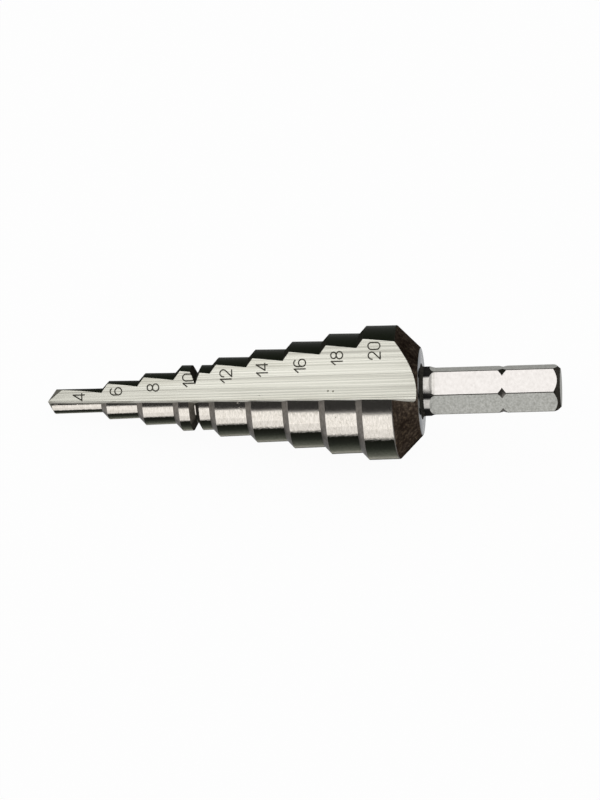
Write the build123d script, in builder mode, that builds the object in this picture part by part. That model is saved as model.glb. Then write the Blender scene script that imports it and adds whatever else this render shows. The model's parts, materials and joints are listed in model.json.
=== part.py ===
from build123d import *
import os
from math import radians, tan

# Step drill, 4 to 20 mm, with two straight flutes and a quarter-inch hex shank,
# ground from one bar of tool steel.
#
# It is drawn along its own axis: +X runs from the point to the shank, and the near
# flute faces +Z.  At the end it is laid on the floor as it comes to rest.
# Lengths are in millimetres and angles in degrees.

# Steps
pilot_diameter = 4.0
diameter_rise = 2.0
step_count = 9
pilot_length = 8.3  # from the point to the end of the first land
land_length = 4.5
step_angle = 45.0  # of each cutting cone to the axis
land_taper = 0.07  # radius lost from the front of a land to its end
land_relief = 0.18  # the lands are turned this far off centre, towards the cutting edge

# Marking groove round one of the lands
grooved_step = 3
groove_depth = 1.3
groove_angle = 60.0

# Back of the step body
last_land_length = 4.3  # the rear cone takes a little off it
rear_face_diameter = 12.9
rear_cone_angle = 45.0

# Flutes
web_thickness = 0.5  # between the two flute floors, at the point
floor_slope = 6.6  # the floors climb away from the axis towards the shank
wall_offset = 0.45  # from the axis to the flute's inner corner, at the point
wall_drift = 1.2  # the inner corner moves off the axis towards the shank
rake_angle = 7.0
corner_radius = 0.45
edge_turn = 8.0  # round the axis, from the middle of a flute's mouth to its cutting edge
seam_turn = 60.0  # the halves of the body meet in the open part of each flute

# Point, ground on each side as a cone whose axis leans towards the lip
point_cone_angle = 112.0
point_lean = 10.7
point_lead = 20.0  # the cone leans this far ahead of the lip, round the axis
heel_facet_slope = 67.0
heel_facet_turn = 65.0
heel_facet_gap = 0.21  # from the axis to the facet, at the very point

# Shank
shank_length = 20.35
bar_diameter = 7.25
root_radius = 0.5
hex_across_flats = 6.35
hex_turn = 10.0
neck_length = 2.15  # from the rear face to the full depth of the flats
runout_radius = 1.0
end_face_diameter = 5.6
end_chamfer_length = 0.95
detent_from_end = 8.4
detent_depth = 0.325
detent_angle = 125.0

# How far a cutter starts and stops clear of the metal
clear = 2.0
tolerance = 0.01

half_turn = 180
hex_sides = 6
pilot_radius = pilot_diameter / 2
step_rise = diameter_rise / 2
step_pitch = land_length + step_rise / tan(radians(step_angle))
last_step = step_count - 1
last_radius = pilot_radius + last_step * step_rise
rear_radius = rear_face_diameter / 2
bar_radius = bar_diameter / 2
flat_distance = hex_across_flats / 2


def land_end(step):
    return pilot_length + step * step_pitch


def land_start(step):
    return land_end(step) - land_length


def land_radius(step):
    return pilot_radius + step * step_rise


body_length = (
    land_start(last_step)
    + last_land_length
    + (last_radius - rear_radius) / tan(radians(rear_cone_angle))
)
overall_length = body_length + shank_length


def v_groove(middle, top_radius, depth, angle):
    half_width = depth * tan(radians(angle / 2))
    Polyline(
        (middle - half_width, top_radius),
        (middle, top_radius - depth),
        (middle + half_width, top_radius),
        close=True,
    )


# One half of the step body.  It is turned off centre, so that every land falls
# away from its cutting edge to its heel.
relief_centre = Vector(0, 0, land_relief).rotate(Axis.X, edge_turn)
point_axis = Vector(1, 0, 0).rotate(Axis.Y, -point_lean).rotate(Axis.X, edge_turn - point_lead)
point_side = point_axis.cross(Vector(1, 0, 0))
heel_side = Vector(0, 1, 0).rotate(Axis.X, heel_facet_turn)
heel_normal = Vector(1, 0, 0) + heel_side * tan(radians(heel_facet_slope))
seam_normal = Vector(0, 0, 1).rotate(Axis.X, seam_turn)

with BuildPart() as relieved_half:
    with BuildSketch(Plane(origin=relief_centre, z_dir=(0, 0, 1))) as step_profile:
        outline = [(-clear, 0), (-clear, pilot_radius - land_relief)]
        for step in range(step_count):
            turned_radius = land_radius(step) - land_relief
            if step > 0:
                outline.append((land_start(step), turned_radius))
            turned_end = body_length if step == last_step else land_end(step)
            outline.append((turned_end, turned_radius - land_taper))
        outline.append((body_length, 0))
        with BuildLine():
            Polyline(*outline, close=True)
        make_face()
        with BuildLine():
            v_groove(
                (land_start(grooved_step) + land_end(grooved_step)) / 2,
                land_radius(grooved_step) - land_relief,
                groove_depth,
                groove_angle,
            )
        make_face(mode=Mode.SUBTRACT)
    revolve(axis=Axis(relief_centre, (1, 0, 0)))

    # Flank of the point, which falls away behind its lip, and a steeper facet
    # that clears its heel
    with BuildSketch(Plane(origin=(0, 0, 0), x_dir=point_axis, z_dir=point_side)) as flank_profile:
        with BuildLine():
            Polyline(
                (0, 0),
                (overall_length, 0),
                (overall_length, overall_length * tan(radians(point_cone_angle / 2))),
                close=True,
            )
        make_face()
    revolve(axis=Axis((0, 0, 0), point_axis), mode=Mode.INTERSECT)
    split(bisect_by=Plane(origin=heel_side * -heel_facet_gap, z_dir=heel_normal), keep=Keep.TOP)
    split(bisect_by=Plane(origin=(0, 0, 0), z_dir=seam_normal), keep=Keep.TOP)

# The shank, from the bar: a round neck, a hexagon with a detent notch in each of
# its corners, and a chamfered end.
with BuildPart() as shank:
    with BuildSketch(Plane.XY) as bar_profile:
        with BuildLine():
            Polyline(
                (body_length + root_radius, bar_radius),
                (overall_length - end_chamfer_length, bar_radius),
                (overall_length, end_face_diameter / 2),
                (overall_length, 0),
                (body_length - clear, 0),
                (body_length - clear, bar_radius + root_radius),
                (body_length, bar_radius + root_radius),
            )
            RadiusArc(
                (body_length, bar_radius + root_radius),
                (body_length + root_radius, bar_radius),
                -root_radius,
            )
        make_face()
        with BuildLine():
            v_groove(overall_length - detent_from_end, bar_radius, detent_depth, detent_angle)
        make_face(mode=Mode.SUBTRACT)
    revolve(axis=Axis.X)

    # Each flat runs out at the neck in the curve of its cutter
    flat_start = body_length + neck_length
    cutter_top = flat_distance + runout_radius
    for side in range(hex_sides):
        side_turn = hex_turn + side * 360 / hex_sides
        with BuildSketch(Plane.XY.rotated((side_turn, 0, 0))) as flat_cutter:
            with BuildLine():
                Polyline(
                    (flat_start, flat_distance),
                    (overall_length + clear, flat_distance),
                    (overall_length + clear, cutter_top),
                    (flat_start - runout_radius, cutter_top),
                )
                RadiusArc(
                    (flat_start - runout_radius, cutter_top),
                    (flat_start, flat_distance),
                    -runout_radius,
                )
            make_face()
        extrude(amount=bar_radius, both=True, mode=Mode.SUBTRACT)

with BuildPart() as drill:
    add(relieved_half.part)
    add(relieved_half.part.rotate(Axis.X, half_turn))

    # Concentric cone behind the last land
    cone_rise = last_radius + clear - rear_radius
    with BuildSketch(Plane.XY) as rear_cone_cutter:
        with BuildLine():
            Polyline(
                (body_length, rear_radius),
                (body_length, rear_radius + cone_rise),
                (body_length - cone_rise / tan(radians(rear_cone_angle)), rear_radius + cone_rise),
                close=True,
            )
        make_face()
    revolve(axis=Axis.X, mode=Mode.SUBTRACT)

    # Flutes: an L-shaped cut with a rounded inner corner, fed along a line that
    # climbs away from the axis
    feed = Vector(1, -tan(radians(wall_drift)), tan(radians(floor_slope)))
    corner = Vector(0, -wall_offset, web_thickness / 2) - feed * clear
    reach = last_radius + clear
    for turn in (0, half_turn):
        with BuildSketch(Plane.YZ.offset(-clear).rotated((turn, 0, 0))) as flute_section:
            with BuildLine():
                Polyline(
                    (corner.Y, corner.Z),
                    (corner.Y + reach, corner.Z),
                    (corner.Y + reach, corner.Z + reach),
                    (corner.Y + reach * tan(radians(rake_angle)), corner.Z + reach),
                    close=True,
                )
            make_face()
            inner_corner = flute_section.vertices().sort_by_distance((corner.Y, corner.Z))[0]
            fillet(inner_corner, corner_radius)
        extrude(amount=overall_length, dir=feed.rotate(Axis.X, turn), mode=Mode.SUBTRACT)

    add(shank.part)

# At rest the drill lies on one flute: on the heel corner and the cutting corner at
# the front of its last land, and on the outer corner of one lip.
land_front = land_start(last_step)
front_corners = drill.vertices().filter_by_position(
    Axis.X, land_front - tolerance, land_front + tolerance
)
under_corners = front_corners.sort_by(Axis.Z)[:2].sort_by(Axis.Y)
heel_corner = Vector(under_corners[0])
cutting_corner = Vector(under_corners[1])
point_corners = drill.vertices().filter_by_position(Axis.X, 0, pilot_radius)
lip_corner = Vector(point_corners.sort_by(Axis.Z)[0])

floor_up = (cutting_corner - heel_corner).cross(lip_corner - heel_corner).normalized()
floor_across = floor_up.cross(Vector(1, 0, 0))
floor = Plane(origin=heel_corner, x_dir=floor_across.cross(floor_up), z_dir=floor_up)
resting = floor.to_local_coords(drill.part)
footprint = resting.bounding_box()

with BuildPart() as step_drill:
    add(Pos(-footprint.center().X, -footprint.center().Y, -footprint.min.Z) * resting)

os.makedirs("parts", exist_ok=True)
step_drill.part.label = "step_drill"
export_step(step_drill.part, "parts/step_drill.step")
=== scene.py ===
import json
from math import atan2, cos, degrees, hypot, pi, radians, sin, tan

import bmesh
import bpy
from mathutils import Matrix, Vector

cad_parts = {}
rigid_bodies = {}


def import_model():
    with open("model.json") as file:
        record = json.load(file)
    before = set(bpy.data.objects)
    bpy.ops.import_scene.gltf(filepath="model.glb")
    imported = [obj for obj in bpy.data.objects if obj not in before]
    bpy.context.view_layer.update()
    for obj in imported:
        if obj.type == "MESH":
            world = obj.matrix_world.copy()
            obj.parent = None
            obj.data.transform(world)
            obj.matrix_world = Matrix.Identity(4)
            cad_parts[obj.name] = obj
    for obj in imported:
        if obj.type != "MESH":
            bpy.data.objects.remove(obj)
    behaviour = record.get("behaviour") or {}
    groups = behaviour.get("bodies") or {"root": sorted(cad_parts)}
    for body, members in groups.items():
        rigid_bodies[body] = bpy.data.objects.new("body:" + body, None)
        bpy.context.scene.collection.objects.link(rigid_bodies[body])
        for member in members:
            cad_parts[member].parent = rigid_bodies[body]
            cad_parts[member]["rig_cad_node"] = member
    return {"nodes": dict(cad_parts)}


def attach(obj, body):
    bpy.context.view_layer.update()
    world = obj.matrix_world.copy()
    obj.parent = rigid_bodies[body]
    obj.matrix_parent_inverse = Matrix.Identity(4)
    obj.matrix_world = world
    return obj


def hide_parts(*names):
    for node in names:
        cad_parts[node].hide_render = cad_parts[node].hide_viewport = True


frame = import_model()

bpy.context.view_layer.update()

mm = 0.001
halfTurn = 180.0

# The drill's own frame: x from the point along the axis, z out of the upper flute.
# The point's place is in mm.
drillAxes = {
    "point": (-37.7967, 0.0, 1.5083),
    "along": (0.989266, 0.0, 0.146128),
    "side": (-0.062816, 0.902891, 0.425257),
    "up": (-0.131938, -0.429871, 0.893198),
}
axisRows = Matrix([Vector(drillAxes[way]) for way in ("along", "side", "up")])
drillToPart = axisRows.transposed().to_4x4()
drillToPart.translation = Vector(drillAxes["point"]) * mm
partToDrill = drillToPart.inverted()
drillTurn = drillToPart.to_euler()


def clearSelection():
    if bpy.context.object and bpy.context.object.mode != "OBJECT":
        bpy.ops.object.mode_set(mode="OBJECT")
    bpy.ops.object.select_all(action="DESELECT")


def pick(thing):
    clearSelection()
    thing.select_set(True)
    bpy.context.view_layer.objects.active = thing


def applyModifier(thing, modifier):
    pick(thing)
    bpy.ops.object.modifier_apply(modifier=modifier.name)


def selectFaces(thing, wanted):
    bpy.ops.mesh.select_mode(type="FACE")
    bpy.ops.mesh.select_all(action="DESELECT")
    shape = bmesh.from_edit_mesh(thing.data)
    for face in shape.faces:
        face.select_set(wanted(face))
    bmesh.update_edit_mesh(thing.data)


# Nodes that the materials share
def newMaterial(name):
    material = bpy.data.materials.new(name)
    material.use_nodes = True
    nodes = material.node_tree.nodes
    return material, nodes, material.node_tree.links, nodes["Principled BSDF"]


def drillCoordinates(nodes, links):
    place = nodes.new("ShaderNodeTexCoord")
    turn = nodes.new("ShaderNodeMapping")
    turn.vector_type = "TEXTURE"
    turn.inputs["Location"].default_value = drillToPart.translation
    turn.inputs["Rotation"].default_value = drillTurn
    links.new(place.outputs["Object"], turn.inputs["Vector"])
    return turn.outputs["Vector"]


def stretched(nodes, links, vector, scale):
    stretch = nodes.new("ShaderNodeMapping")
    stretch.inputs["Scale"].default_value = scale
    links.new(vector, stretch.inputs["Vector"])
    return stretch.outputs["Vector"]


noiseSettings = {
    "roughness": 0.6, "markDetail": 4.0, "patchDetail": 3.0,
    "markRange": (0.3, 0.7),             # where most of the grinding marks' noise lies
    "shadingGrain": (2500, 6000, 6000),     # of the ragged edges of the painted shade
}


def noise(nodes, links, vector, scale, detail):
    texture = nodes.new("ShaderNodeTexNoise")
    texture.inputs["Scale"].default_value = 1.0
    texture.inputs["Detail"].default_value = detail
    texture.inputs["Roughness"].default_value = noiseSettings["roughness"]
    links.new(stretched(nodes, links, vector, scale), texture.inputs["Vector"])
    return texture.outputs["Fac"]


def ramp(nodes, links, value, stops):
    colours = nodes.new("ShaderNodeValToRGB")
    band = colours.color_ramp
    while len(band.elements) < len(stops):
        band.elements.new(0.5)
    for element, (position, colour) in zip(band.elements, stops):
        element.position = position
        element.color = (*colour, 1.0)
    links.new(value, colours.inputs["Fac"])
    return colours.outputs["Color"]


def mapValue(nodes, links, value, low, high, newLow, newHigh):
    spread = nodes.new("ShaderNodeMapRange")
    limits = {"From Min": low, "From Max": high, "To Min": newLow, "To Max": newHigh}
    for name, number in limits.items():
        spread.inputs[name].default_value = number
    links.new(value, spread.inputs["Value"])
    return spread.outputs["Result"]


def mathNode(nodes, links, operation, *values):
    step = nodes.new("ShaderNodeMath")
    step.operation = operation
    for slot, value in enumerate(values):
        if isinstance(value, (int, float)):
            step.inputs[slot].default_value = value
        else:
            links.new(value, step.inputs[slot])
    return step.outputs["Value"]


def openSocket(sockets, name):
    return [one for one in sockets if one.name == name and one.enabled][0]


# Multiplies a colour by another, which may be one plain colour, in the share given
def darkened(nodes, links, share, colour, shade):
    mixed = nodes.new("ShaderNodeMix")
    mixed.data_type = "RGBA"
    mixed.blend_type = "MULTIPLY"
    if isinstance(share, float):
        openSocket(mixed.inputs, "Factor").default_value = share
    else:
        links.new(share, openSocket(mixed.inputs, "Factor"))
    links.new(colour, openSocket(mixed.inputs, "A"))
    if isinstance(shade, tuple):
        openSocket(mixed.inputs, "B").default_value = (*shade, 1.0)
    else:
        links.new(shade, openSocket(mixed.inputs, "B"))
    return openSocket(mixed.outputs, "Result")


def grey(level):
    return (level, level, level)


edgeTurn = 8.0      # degrees from the middle of a flute's mouth to its cutting edge


# How far round behind its cutting edge a place is, as a share of half a turn.
# Both halves of the drill read the same.
def behindEdge(nodes, links, place):
    apart = nodes.new("ShaderNodeSeparateXYZ")
    links.new(place, apart.inputs["Vector"])
    turn = mathNode(nodes, links, "ARCTAN2", apart.outputs["Y"], apart.outputs["Z"])
    back = mathNode(nodes, links, "SUBTRACT", radians(edgeTurn), turn)
    return mathNode(nodes, links, "WRAP", mathNode(nodes, links, "DIVIDE", back, pi), 1.0, 0.0)


def byDegrees(stops):
    return [(angle / halfTurn, colour) for angle, colour in stops]


# Small round marks, such as pits, each with its place and its radius in mm
def markShare(nodes, links, place, spots):
    share = 0.0
    for x, y, z, radius in spots:
        apart = nodes.new("ShaderNodeVectorMath")
        apart.operation = "DISTANCE"
        links.new(place, apart.inputs[0])
        apart.inputs[1].default_value = (x * mm, y * mm, z * mm)
        outer, inner = radius * mm, radius * mm / 2
        spot = mapValue(nodes, links, apart.outputs["Value"], outer, inner, 0.0, 1.0)
        share = mathNode(nodes, links, "MAXIMUM", share, spot)
    return share


# Ground steel with its grinding marks.  Painted shading darkens the flanks, in place of their shade
# and dark reflections: its colour, and where the metal is left unshaded, go by degrees behind the
# cutting edge.
def groundMaterial(name, look):
    material, nodes, links, shader = newMaterial(name)
    place = drillCoordinates(nodes, links)
    marks = noise(nodes, links, place, look["marks"], noiseSettings["markDetail"])
    colour = ramp(nodes, links, marks, look["colours"])
    roughness = mapValue(nodes, links, marks, *noiseSettings["markRange"], *look["roughness"])
    shader.inputs["Metallic"].default_value = look.get("metallic", 1.0)
    # Painted shade, and on the lands and neck painted reflections, multiplied into the colour; the
    # metal stays only where it is unshaded
    if "paintedShading" in look:
        paintedShading = look["paintedShading"]
        grain = noise(nodes, links, place, noiseSettings["shadingGrain"], noiseSettings["patchDetail"])
        back = behindEdge(nodes, links, place)
        ragged = mathNode(nodes, links, "MULTIPLY_ADD", grain, paintedShading["raggedness"], back)
        shade = ramp(nodes, links, ragged, byDegrees(paintedShading["shade"]))
        colour = darkened(nodes, links, 1.0, colour, shade)
        if "unshaded" in paintedShading:
            unshaded = ramp(nodes, links, ragged, byDegrees(paintedShading["unshaded"]))
            links.new(unshaded, shader.inputs["Metallic"])
            paintedShare = mathNode(nodes, links, "SUBTRACT", 1.0, unshaded)
            rougher = mathNode(nodes, links, "SUBTRACT", paintedShading["roughness"], roughness)
            roughness = mathNode(nodes, links, "MULTIPLY_ADD", paintedShare, rougher, roughness)
    if "blotches" in look:
        blotch = look["blotches"]
        patches = noise(nodes, links, place, blotch["scale"], noiseSettings["patchDetail"])
        share = mapValue(nodes, links, patches, *blotch["range"], 0.0, 1.0)
        colour = darkened(nodes, links, share, colour, blotch["colour"])
    if "spots" in look:
        spots = look["spots"]
        share = markShare(nodes, links, place, spots["places"])
        colour = darkened(nodes, links, share, colour, spots["colour"])
        roughness = mathNode(nodes, links, "MULTIPLY_ADD", share, spots["roughness"], roughness)
    links.new(colour, shader.inputs["Base Color"])
    links.new(roughness, shader.inputs["Roughness"])
    shader.inputs["Specular Tint"].default_value = (*grey(look.get("grazing", 1.0)), 1.0)
    shader.inputs["Specular IOR Level"].default_value = look.get("specular", 0.0)
    strength, depth = look["relief"]
    relief = nodes.new("ShaderNodeBump")
    relief.inputs["Strength"].default_value = strength
    relief.inputs["Distance"].default_value = depth * mm
    links.new(marks, relief.inputs["Height"])
    links.new(relief.outputs["Normal"], shader.inputs["Normal"])
    return material


# Painted shade on the lands: dark and dull from 52 degrees behind the cutting edge, black over the
# upper lands, with a painted reflection line at about 87 degrees
landPaintedShading = {
    "raggedness": 0.04, "roughness": 0.4,
    "shade": (
        (0, grey(1.0)), (52, grey(1.0)), (56, (0.013, 0.015, 0.011)), (64, (0.028, 0.033, 0.026)),
        (68, (0.046, 0.054, 0.043)), (71, (0.085, 0.098, 0.080)), (77, (0.165, 0.185, 0.155)),
        (81, (0.240, 0.260, 0.225)), (86.5, (0.560, 0.580, 0.530)), (89.5, (0.460, 0.480, 0.430)),
        (93, (0.100, 0.115, 0.095)), (98, (0.014, 0.018, 0.012)), (154, (0.011, 0.015, 0.009)),
        (158, grey(1.0)),
    ),
    "unshaded": ((0, grey(1.0)), (52, grey(1.0)), (56, grey(0.0)), (154, grey(0.0)), (158, grey(1.0))),
}
# Painted shade on the groove's facet: full colour up to 56 degrees behind the cutting edge, darker
# beyond, darkest from 104 degrees
groovePaintedShading = {
    "raggedness": 0.04,
    "shade": (
        (0, grey(0.6)), (25, grey(1.0)), (56, grey(1.0)), (66, grey(0.28)), (86, grey(0.38)),
        (104, grey(0.12)), (152, grey(0.12)), (158, grey(0.6)),
    ),
}
# Painted reflections on the neck: two bands of bright metal, with dark bands painted between them
# in place of dark reflections
neckPaintedShading = {
    "raggedness": 0.02, "roughness": 0.4,
    "shade": (
        (0, grey(1.0)), (12, grey(1.0)), (16, grey(0.03)), (26, grey(0.03)), (31, grey(0.8)),
        (51, grey(0.8)), (56, grey(0.03)), (153, grey(0.03)), (158, grey(1.0)),
    ),
    "unshaded": (
        (0, grey(1.0)), (12, grey(1.0)), (16, grey(0.0)), (26, grey(0.0)), (31, grey(1.0)),
        (51, grey(1.0)), (56, grey(0.0)), (153, grey(0.0)), (158, grey(1.0)),
    ),
}
# Painted shade on the step cones: a little darker next to the cutting edge, darker from 60 degrees
# behind it, dark and dull from 104 to 150 degrees
conePaintedShading = {
    "raggedness": 0.04, "roughness": 0.45,
    "shade": (
        (0, grey(0.6)), (25, grey(0.95)), (50, grey(1.0)), (60, grey(0.55)), (92, grey(0.45)),
        (104, (0.10, 0.11, 0.095)), (150, (0.10, 0.11, 0.095)), (158, grey(0.6)),
    ),
    "unshaded": ((0, grey(1.0)), (92, grey(1.0)), (104, grey(0.0)), (152, grey(0.0)), (158, grey(1.0))),
}
# Painted light and shade on the scale: a little brighter up to 70 degrees behind the cutting edge,
# darker from there towards the upper side
scalePaintedShading = {
    "raggedness": 0.04,
    "shade": (
        (0, grey(1.1)), (70, grey(1.1)), (100, grey(0.50)), (150, grey(0.40)), (170, grey(0.75)),
    ),
}

# The finish of each surface, some with painted light or shade.  Marks and blotches are noise, by
# its scale along the drill's axes, and a relief is the strength and the depth, in mm, of the marks.
steel = {
    "flute": {
        "marks": (12, 4500, 0), "roughness": (0.30, 0.22), "relief": (0.1, 0.01),
        "colours": (
            (0.32, (0.36, 0.35, 0.30)), (0.43, (0.56, 0.55, 0.485)),
            (0.53, (0.71, 0.70, 0.62)), (0.70, (0.78, 0.77, 0.70)),
        ),
        "blotches": {"scale": (30, 250, 250), "range": (0.45, 0.75), "colour": (0.84, 0.83, 0.80)},
        "spots": {      # pits
            "places": (
                (42.43, 0.43, 5.16, 0.16), (43.17, 0.37, 5.25, 0.16), (32.18, 0.06, 3.97, 0.10),
            ),
            "colour": (0.30, 0.28, 0.24), "roughness": 0.2,
        },
    },
    "wall": {
        "marks": (12, 50, 4500), "roughness": (0.32, 0.24), "relief": (0.1, 0.01),
        "colours": (
            (0.34, (0.22, 0.215, 0.185)), (0.46, (0.32, 0.31, 0.275)), (0.62, (0.39, 0.38, 0.345)),
        ),
    },
    "land": {
        "marks": (5000, 1500, 1500), "roughness": (0.18, 0.10), "relief": (0.35, 0.01),
        "colours": ((0.3, (0.63, 0.59, 0.53)), (0.7, (0.84, 0.79, 0.725))), "paintedShading": landPaintedShading,
        "specular": 0.01,
        "blotches": {
            "scale": (1800, 1800, 1800), "range": (0.55, 0.75), "colour": (0.84, 0.83, 0.81),
        },
        "spots": {      # a nick, a scratch and a spot
            "places": (
                (29.22, -0.95, 5.92, 0.16), (29.40, -1.08, 5.90, 0.10), (29.60, -1.20, 5.88, 0.08),
                (29.40, -1.62, 5.77, 0.10), (29.50, -1.80, 5.72, 0.12), (29.62, -1.98, 5.66, 0.14),
                (29.80, -2.12, 5.61, 0.12), (43.79, -3.43, 8.32, 0.12),
            ),
            "colour": (0.70, 0.68, 0.64), "roughness": 0.45,
        },
    },
    "cone": {
        "marks": (5000, 2000, 2000), "roughness": (0.40, 0.30), "relief": (0.3, 0.01),
        "colours": ((0.3, (0.15, 0.14, 0.125)), (0.7, (0.27, 0.25, 0.23))), "paintedShading": conePaintedShading,
        "grazing": 0.6,
    },
    "flank": {
        "marks": (5000, 2000, 2000), "roughness": (0.50, 0.40), "relief": (0.2, 0.01),
        "colours": ((0.3, (0.13, 0.125, 0.105)), (0.7, (0.20, 0.195, 0.165))), "metallic": 0.0,
    },
    # The hex flat that faces the light is painted lit, and the other flats are its copy painted
    # grey in shade
    "brightFlat": {
        "marks": (2500, 1800, 1800), "roughness": (0.45, 0.35), "relief": (0.2, 0.01),
        "colours": ((0.3, (0.84, 0.80, 0.77)), (0.7, (0.92, 0.88, 0.85))),
    },
    "greyFlat": {
        "marks": (3000, 2500, 2500), "roughness": (0.50, 0.40), "relief": (0.3, 0.01),
        "colours": ((0.3, (0.36, 0.36, 0.33)), (0.7, (0.54, 0.54, 0.51))), "grazing": 0.5,
    },
    "neck": {
        "marks": (3000, 1500, 1500), "roughness": (0.30, 0.20), "relief": (0.2, 0.01),
        "colours": ((0.3, (0.60, 0.57, 0.53)), (0.7, (0.76, 0.73, 0.69))), "paintedShading": neckPaintedShading,
    },
    "scale": {
        "marks": (2000, 2000, 2000), "roughness": (0.60, 0.40), "relief": (0.4, 0.02),
        "colours": (
            (0.42, (0.040, 0.028, 0.021)), (0.56, (0.092, 0.070, 0.052)),
            (0.72, (0.20, 0.155, 0.105)),
        ),
        "metallic": 0.0, "paintedShading": scalePaintedShading,
        "blotches": {"scale": (250, 250, 250), "range": (0.45, 0.60), "colour": (0.55, 0.52, 0.50)},
    },
    # Painted shade: the dark dull finish of the root fillet, the groove's facet that faces the
    # point and the shank's upper corners; the shank beyond the notches has it too
    "dark": {
        "marks": (2000, 2000, 2000), "roughness": (0.50, 0.40), "relief": (0.3, 0.01),
        "colours": ((0.3, (0.026, 0.025, 0.020)), (0.7, (0.062, 0.056, 0.048))), "metallic": 0.0,
    },
    "groove": {
        "marks": (2000, 2000, 2000), "roughness": (0.50, 0.40), "relief": (0.3, 0.01),
        "colours": ((0.3, (0.13, 0.115, 0.095)), (0.7, (0.21, 0.19, 0.16))),
        "metallic": 0.0, "paintedShading": groovePaintedShading,
    },
    "rear": {
        "marks": (2000, 2000, 2000), "roughness": (0.20, 0.14), "relief": (0.1, 0.01),
        "colours": ((0.3, (0.36, 0.38, 0.40)), (0.7, (0.44, 0.46, 0.48))), "grazing": 0.47,
    },
    # Painted light: the runout next to the lit flat, a lit copy of the flat's finish
    "worn": {
        "marks": (2000, 2000, 2000), "roughness": (0.35, 0.25), "relief": (0.1, 0.01),
        "colours": ((0.3, (0.66, 0.63, 0.59)), (0.7, (0.78, 0.75, 0.71))),
    },
    "etched": {
        "marks": (3000, 3000, 3000), "roughness": (0.70, 0.60), "relief": (0.3, 0.01),
        "colours": ((0.3, (0.060, 0.057, 0.046)), (0.7, (0.135, 0.128, 0.105))), "metallic": 0.0,
    },
}

# The drill itself, in mm and degrees
drillBodySettings = {
    "mergeDistance": 0.0005, "flatAngle": 0.3, "slivers": 0.0001,
    "smoothAngle": 34.0, "evenAngle": 25.0,
    "facetAngle": 9.0,       # more than half of one facet of a turned surface
    "leastAcross": 0.2,      # a surface that faces along the axis isn't shaded as turned
    "reliefOffset": 0.18,    # the lands and cones of each half are turned this far off centre
    "seamTurn": 60.0,        # where the two halves meet
    # the two finishes that meet at the edge, the bevel's width, its segments and its finish
    "bevels": (
        (["land", "scale"], 0.08, 2, "cone"),
        (["rear", "scale"], 0.08, 2, "cone"),
        (["dark", "groove"], 0.12, 1, "land"),
    ),
    # Where each surface lies from the point, and the way it faces: "lean" is the share
    # of that along the axis, and "outward" the share straight away from the axis
    "tip": {"end": 3.0, "lean": 0.3, "turnedFrom": 2.5},
    "groove": {"start": 20.0, "end": 25.0, "lean": 0.866, "within": 0.06},
    "floor": {"lean": 0.115, "within": 0.02, "rise": 0.985},
    "wall": {"turn": 0.08},
    "land": {
        "lean": 0.2, "outward": 0.9,
        "leastRadius": 1.5, "leastStart": 0.04, "leastSlope": 0.1818,      # over the flutes' floors
    },
    "cone": {"lean": (0.6, 0.8), "outward": 0.5},
    "rear": {"start": 50.0, "end": 55.651, "lean": 0.6, "outward": 0.5, "faceLean": 0.99},
    "shank": {
        "rootEnd": 56.15, "flatStart": 57.0, "neckEnd": 57.85, "notchEnd": 70.0,
        "barRadius": 3.5, "outward": 0.99, "level": 0.05, "sloping": 0.9,
        "hexTurn": 10.0, "hexSides": 6, "onFlat": 0.9995,
        # degrees behind the cutting edge: the flat and runouts painted lit, and the corners painted
        # in shade
        "litTurn": 168.0, "litWithin": 5.0, "runoutWithin": 15.0, "shadedTurns": (60.0, 150.0),
    },
}
tip, groove, floor, wall, land, cone, rear, shank = (
    drillBodySettings[part]
    for part in ("tip", "groove", "floor", "wall", "land", "cone", "rear", "shank")
)

pick(frame["nodes"]["step_drill"])
bpy.ops.object.duplicate()
drillBody = bpy.context.object
drillBody.name = "drillBody"
del drillBody["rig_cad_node"]
bpy.ops.mesh.customdata_custom_splitnormals_clear()
bpy.ops.object.mode_set(mode="EDIT")
bpy.ops.mesh.select_all(action="SELECT")
bpy.ops.mesh.remove_doubles(threshold=drillBodySettings["mergeDistance"] * mm)
bpy.ops.mesh.dissolve_limited(angle_limit=radians(drillBodySettings["flatAngle"]))
bpy.ops.object.mode_set(mode="OBJECT")
drillBody.data.materials.clear()
finishes = list(steel)
for finish in finishes:
    drillBody.data.materials.append(groundMaterial(finish + "Steel", steel[finish]))

hexSides = shank["hexSides"]
hexTurns = [radians(shank["hexTurn"] + 360 * side / hexSides) for side in range(hexSides)]
hexNormals = [Vector((0, cos(turn), sin(turn))) for turn in hexTurns]
drillRotation = partToDrill.to_3x3()


# The shank's finish by place and facing: the flat facing the light and its runout are painted lit,
# the other flats painted in shade, and the root fillet and upper corners painted dark in shade
def shankFinish(middle, normal, radius, outward, back):
    level, sloping = abs(normal.x) < shank["level"], abs(normal.x) < shank["sloping"]
    fromLit = abs(back - shank["litTurn"])
    if middle.x < shank["rootEnd"]:
        return "dark"
    if middle.x < shank["flatStart"] and outward > shank["outward"]:
        return "neck"
    if middle.x < shank["neckEnd"] and level and radius > shank["barRadius"]:
        return "neck"
    if sloping and max(normal.dot(side) for side in hexNormals) > shank["onFlat"]:
        return "brightFlat" if fromLit < shank["litWithin"] else "greyFlat"
    if middle.x < shank["neckEnd"] and sloping:
        return "worn" if fromLit < shank["runoutWithin"] else "greyFlat"
    if level:
        return "dark" if shank["shadedTurns"][0] < back < shank["shadedTurns"][1] else "cone"
    if normal.x > rear["faceLean"]:
        return "greyFlat"
    return "cone" if middle.x < shank["notchEnd"] else "dark"


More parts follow.
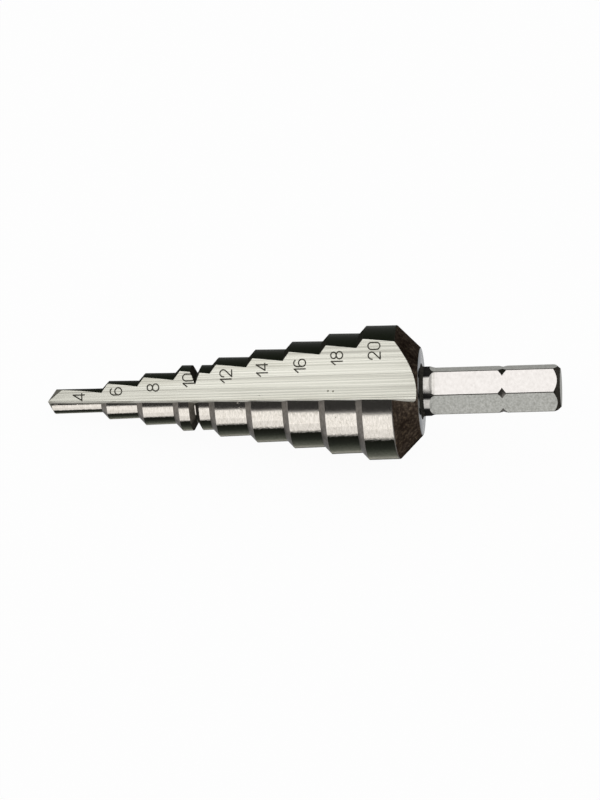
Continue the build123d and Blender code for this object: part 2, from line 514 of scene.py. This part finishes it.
# The finish of a face, by its place and direction in the drill's own frame; some finishes are
# painted light or shade
def faceFinish(face):
    middle = partToDrill @ face.calc_center_median() / mm
    normal = drillRotation @ face.normal
    radius = hypot(middle.y, middle.z)
    outward = (normal.y * middle.y + normal.z * middle.z) / radius
    back = (edgeTurn - degrees(atan2(normal.y, normal.z))) % halfTurn
    if middle.x > rear["end"]:
        return shankFinish(middle, normal, radius, outward, back)
    if normal.x > rear["faceLean"]:
        return "rear"
    if normal.x > rear["lean"] and outward > rear["outward"] and middle.x > rear["start"]:
        return "scale"
    grooveSlope = abs(abs(normal.x) - groove["lean"]) < groove["within"]
    # The groove's facet that faces the point is painted dark, in shade
    if grooveSlope and groove["start"] < middle.x < groove["end"]:
        return "groove" if normal.x > 0 else "dark"
    if abs(normal.x + floor["lean"]) < floor["within"] and abs(normal.z) > floor["rise"]:
        return "flute"
    least = max(land["leastStart"] + land["leastSlope"] * middle.x, land["leastRadius"])
    if abs(normal.x) < land["lean"] and outward > land["outward"] and radius > least:
        return "land"
    if middle.x < tip["end"] and normal.x < -tip["lean"]:
        return "flank"
    if cone["lean"][0] < -normal.x < cone["lean"][1] and outward > cone["outward"]:
        return "cone"
    return "wall" if abs(normal.y) > wall["turn"] else "flute"


pick(drillBody)
bpy.ops.object.mode_set(mode="EDIT")
for index, finish in enumerate(finishes):
    selectFaces(drillBody, lambda face: faceFinish(face) == finish)
    drillBody.active_material_index = index
    bpy.ops.object.material_slot_assign()


# Bevels the edges where two finishes meet, with a third on the bevel
def bevelBetween(pair, width, segments, finish):
    bpy.ops.mesh.select_mode(type="EDGE")
    bpy.ops.mesh.select_all(action="DESELECT")
    shape = bmesh.from_edit_mesh(drillBody.data)
    for edge in shape.edges:
        edge.select_set(sorted(finishes[face.material_index] for face in edge.link_faces) == pair)
    bmesh.update_edit_mesh(drillBody.data)
    bpy.ops.mesh.bevel(offset=width * mm, segments=segments, material=finishes.index(finish))


for bevel in drillBodySettings["bevels"]:
    bevelBetween(*bevel)
bpy.ops.object.mode_set(mode="OBJECT")

print("drill body finished:", len(drillBody.data.polygons), "faces")

# Size numbers, etched in the floor of the upper flute, in mm and degrees.  Each has the place
# of its foot line, from the point, and of its first digit, from the axis.
numberSettings = {
    "height": 1.78, "gap": 0.35, "lineWidth": 0.21, "depth": 0.05, "strokeRoundness": 3,
    "floorStart": 0.25, "floorSlope": 6.6,      # the floor's height at the point, and its climb
    "places": {
        "4": (5.73, 0.05), "6": (11.41, 0.73), "8": (17.06, 1.12), "10": (22.48, 1.59),
        "12": (28.12, 2.03), "14": (33.58, 2.80), "16": (39.22, 3.20), "18": (44.75, 4.15),
        "20": (50.29, 4.86),
    },
}


def arc(centre, radii, start, end, count=14):
    turns = [radians(start + (end - start) * step / count) for step in range(count + 1)]
    return [(centre[0] + radii[0] * cos(turn), centre[1] + radii[1] * sin(turn)) for turn in turns]


# Each digit is a few strokes on a field one unit high: its width, then (points, closed) for each
# stroke.  Strokes that meet at a sharp corner are apart, or the corner would thin them.
digitStrokes = {
    "0": (0.56, [
        (arc((0.28, 0.72), (0.28, 0.28), 0, 180) + arc((0.28, 0.28), (0.28, 0.28), 180, 360), True),
    ]),
    "1": (0.31, [([(0.0, 0.62), (0.33, 1.0)], False), ([(0.31, 1.02), (0.31, 0.0)], False)]),
    "2": (0.60, [
        (arc((0.29, 0.71), (0.29, 0.29), 195, -35) + [(-0.02, -0.02)], False),
        ([(-0.04, 0.0), (0.60, 0.0)], False),
    ]),
    "4": (0.60, [
        ([(0.46, 0.0), (0.46, 1.04)], False),
        ([(0.49, 1.04), (0.0, 0.25)], False),
        ([(-0.04, 0.26), (0.62, 0.26)], False),
    ]),
    "6": (0.60, [
        (arc((0.30, 0.30), (0.30, 0.30), 0, 360), True),
        ([(0.0, 0.30), (0.0, 0.58)] + arc((0.29, 0.68), (0.29, 0.32), 180, 30), False),
    ]),
    "8": (0.60, [
        (arc((0.30, 0.27), (0.30, 0.27), 0, 360), True),
        (arc((0.30, 0.77), (0.26, 0.23), 0, 360), True),
    ]),
}

# A round stroke that is as wide as the line at the floor and sinks to its depth
strokeDepth = numberSettings["depth"]
strokeRadius = (numberSettings["lineWidth"] ** 2 / 4 + strokeDepth ** 2) / (2 * strokeDepth)


def addNumber(number, foot, firstDigit):
    height = numberSettings["height"]
    curve = bpy.data.curves.new("number" + number, "CURVE")
    curve.dimensions = "3D"
    curve.bevel_depth = strokeRadius
    curve.bevel_resolution = numberSettings["strokeRoundness"]
    curve.use_fill_caps = True
    start = 0.0
    for digit in number:
        width, strokes = digitStrokes[digit]
        for points, closed in strokes:
            if closed:
                points = points[:-1]
            line = curve.splines.new("POLY")
            line.points.add(len(points) - 1)
            for point, (x, y) in zip(line.points, points):
                point.co = (start + x * height, y * height, 0.0, 1.0)
            line.use_cyclic_u = closed
        start += width * height + numberSettings["gap"]
    piece = bpy.data.objects.new("number" + number, curve)
    bpy.context.scene.collection.objects.link(piece)
    pick(piece)
    bpy.ops.object.convert(target="MESH")
    slope = radians(numberSettings["floorSlope"])
    reading = Vector((0, 1, 0))
    digitsUp = Vector((-cos(slope), 0, -sin(slope)))
    outOfFloor = reading.cross(digitsUp)
    layOut = Matrix((reading, digitsUp, outOfFloor)).transposed().to_4x4()
    footPlace = Vector((foot, firstDigit, numberSettings["floorStart"] + foot * tan(slope)))
    layOut.translation = footPlace + outOfFloor * (strokeRadius - strokeDepth)
    piece.data.transform(drillToPart @ Matrix.Scale(mm, 4) @ layOut)
    piece.data.materials.append(bpy.data.materials["etchedSteel"])
    return piece


numbers = [addNumber(number, *place) for number, place in numberSettings["places"].items()]
clearSelection()
for piece in numbers:
    piece.select_set(True)
bpy.context.view_layer.objects.active = numbers[0]
bpy.ops.object.join()
etching = bpy.data.objects[numbers[0].name]
cut = drillBody.modifiers.new("etchedNumbers", "BOOLEAN")
cut.operation = "DIFFERENCE"
cut.object = etching
cut.solver = "EXACT"
cut.use_self = True
cut.material_mode = "TRANSFER"
applyModifier(drillBody, cut)
bpy.data.objects.remove(etching)
pick(drillBody)
bpy.ops.object.mode_set(mode="EDIT")
bpy.ops.mesh.select_all(action="SELECT")
bpy.ops.mesh.dissolve_degenerate(threshold=drillBodySettings["slivers"] * mm)
bpy.ops.object.mode_set(mode="OBJECT")
print("numbers etched:", len(drillBody.data.polygons), "faces")

bpy.ops.object.shade_smooth_by_angle(angle=radians(drillBodySettings["smoothAngle"]))
weighted = drillBody.modifiers.new("evenShading", "WEIGHTED_NORMAL")
weighted.keep_sharp = True
applyModifier(drillBody, weighted)

# Turned surfaces are shaded about the axis they were turned on, so that facets don't show.
# The lands and step cones were turned off centre, the rest about the drill's axis.
turnedFinishes = ("land", "cone", "scale", "dark", "worn", "neck", "groove")
reliefTurn = radians(edgeTurn)
reliefCentre = Vector((0, -sin(reliefTurn), cos(reliefTurn))) * drillBodySettings["reliefOffset"]
seamTurn = radians(drillBodySettings["seamTurn"])
seamNormal = Vector((0, -sin(seamTurn), cos(seamTurn)))


def outFrom(place, centre):
    return Vector((0, place.y - centre.y, place.z - centre.z)).normalized()


# The directions that each point of a turned surface faces, one for each surface it is on
def turnedNormals(mesh):
    places = [partToDrill @ vertex.co / mm for vertex in mesh.vertices]
    turned = {}
    for face in mesh.polygons:
        middle = partToDrill @ face.center / mm
        if finishes[face.material_index] not in turnedFinishes or middle.x < tip["turnedFrom"]:
            continue
        normal = drillRotation @ face.normal
        across = Vector((0, normal.y, normal.z))
        centre = Vector((0, 0, 0))
        if middle.x < rear["end"] and normal.x < rear["lean"]:
            centre = reliefCentre if middle.dot(seamNormal) > 0 else -reliefCentre
        if across.length < drillBodySettings["leastAcross"]:
            continue
        if across.angle(outFrom(middle, centre)) > facetAngle:
            continue
        for index in face.vertices:
            ideal = Vector((normal.x, 0, 0)) + outFrom(places[index], centre) * across.length
            turned.setdefault(index, []).append(ideal.normalized())
    return turned


facetAngle = radians(drillBodySettings["facetAngle"])
evenAngle = radians(drillBodySettings["evenAngle"])
body = drillBody.data
turned = turnedNormals(body)
cornerNormals = [Vector(corner.vector) for corner in body.corner_normals]
for face in body.polygons:
    faceNormal = drillRotation @ face.normal
    for loop in face.loop_indices:
        choices = turned.get(body.loops[loop].vertex_index)
        if choices:
            nearest = min(choices, key=faceNormal.angle)
            if faceNormal.angle(nearest) < evenAngle:
                cornerNormals[loop] = drillRotation.transposed() @ nearest
body.normals_split_custom_set(cornerNormals)
print("turned surfaces shaded:", len(turned), "of", len(body.vertices), "points")

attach(drillBody, "root")
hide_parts("step_drill")

# Floor: it glows white where it is seen, and keeps the shadow
floorSettings = {"size": 12.0, "colour": grey(0.9), "roughness": 0.9, "glowShare": 0.96}      # m
bpy.ops.mesh.primitive_plane_add(size=floorSettings["size"], location=(0, 0, 0))
studioFloor = bpy.context.object
studioFloor.name = "studioFloor"
floorMaterial, nodes, links, shader = newMaterial("paleFloor")
shader.inputs["Base Color"].default_value = (*floorSettings["colour"], 1.0)
shader.inputs["Roughness"].default_value = floorSettings["roughness"]
glow = nodes.new("ShaderNodeEmission")
glow.inputs["Color"].default_value = (*grey(1.0), 1.0)
rays = nodes.new("ShaderNodeLightPath")
cameraRay, glossyRay = rays.outputs["Is Camera Ray"], rays.outputs["Is Glossy Ray"]
seen = mathNode(nodes, links, "MAXIMUM", cameraRay, glossyRay)
seen = mathNode(nodes, links, "MAXIMUM", seen, rays.outputs["Is Transmission Ray"])
blend = nodes.new("ShaderNodeMixShader")
links.new(mathNode(nodes, links, "MULTIPLY", seen, floorSettings["glowShare"]), blend.inputs["Fac"])
links.new(shader.outputs["BSDF"], blend.inputs[1])
links.new(glow.outputs["Emission"], blend.inputs[2])
links.new(blend.outputs["Shader"], nodes["Material Output"].inputs["Surface"])
studioFloor.data.materials.append(floorMaterial)
print("floor laid:", floorSettings["size"], "m across")

# The camera's place in mm, and its axes
cameraSettings = {
    "place": (-4.2917, -234.1508, 501.8052),
    "right": (0.999360, 0.028804, 0.021216),
    "down": (0.035100, -0.904038, -0.426010),
    "forward": (0.006910, 0.426481, -0.904470),
    "lens": 167.69, "sensor": 36.0, "nearest": 0.01,
}
cameraData = bpy.data.cameras.new("studioCamera")
camera = bpy.data.objects.new("studioCamera", cameraData)
bpy.context.scene.collection.objects.link(camera)
right, down, forward = (Vector(cameraSettings[way]) for way in ("right", "down", "forward"))
cameraTurn = Matrix((right, -down, -forward)).transposed().to_4x4()
cameraTurn.translation = Vector(cameraSettings["place"]) * mm
camera.matrix_world = cameraTurn
cameraData.sensor_width = cameraSettings["sensor"]
cameraData.lens = cameraSettings["lens"]
cameraData.clip_start = cameraSettings["nearest"]
bpy.context.scene.camera = camera
print("camera placed: lens", cameraSettings["lens"], "mm")

# Softboxes, in m and degrees: their turn over the drill (0 towards the near side, 90 overhead),
# their lean along x, and the level at which a mirror shows them
lampDistance = 0.6
lampSettings = {
    "overhead": {"turn": 104.0, "lean": -7.0, "size": (1.2, 0.84), "level": 0.56},
    "left": {"turn": 57.0, "lean": -30.0, "size": (0.20, 0.25), "level": 0.85},
    "front": {"turn": 3.5, "lean": -7.0, "size": (1.2, 0.5), "level": 0.60},
}
for name, lamp in lampSettings.items():
    turnAngle, lean = radians(lamp["turn"]), radians(lamp["lean"])
    direction = Vector((sin(lean), -cos(turnAngle) * cos(lean), sin(turnAngle) * cos(lean)))
    bpy.ops.object.light_add(type="AREA", location=direction * lampDistance)
    light = bpy.context.object
    light.name = name + "Softbox"
    light.data.shape = "RECTANGLE"
    light.data.size, light.data.size_y = lamp["size"]
    light.data.energy = lamp["level"] * pi * lamp["size"][0] * lamp["size"][1]
    light.rotation_euler = direction.to_track_quat("Z", "Y").to_euler()
print("lamps lit:", ", ".join(lampSettings))

# The room: pale, with a dark strip between the front and the overhead softboxes.
# Its colours are by degrees from the near side, over the drill, to the far side.
roomSettings = {
    "colours": (
        (0, grey(0.55)), (24, grey(0.55)), (31, grey(0.03)),
        (68, grey(0.03)), (76, grey(0.55)), (180, grey(0.55)),
    ),
}
world = bpy.data.worlds.new("studioWorld")
bpy.context.scene.world = world
world.use_nodes = True
nodes, links = world.node_tree.nodes, world.node_tree.links
direction = nodes.new("ShaderNodeSeparateXYZ")
links.new(nodes.new("ShaderNodeTexCoord").outputs["Generated"], direction.inputs["Vector"])
towardsFront = mathNode(nodes, links, "MULTIPLY", direction.outputs["Y"], -1.0)
over = mathNode(nodes, links, "ARCTAN2", direction.outputs["Z"], towardsFront)
share = mathNode(nodes, links, "DIVIDE", over, pi)
room = ramp(nodes, links, share, byDegrees(roomSettings["colours"]))
links.new(room, nodes["Background"].inputs["Color"])
print("room lit")

bpy.context.scene.view_settings.view_transform = "Standard"

bpy.context.view_layer.update()
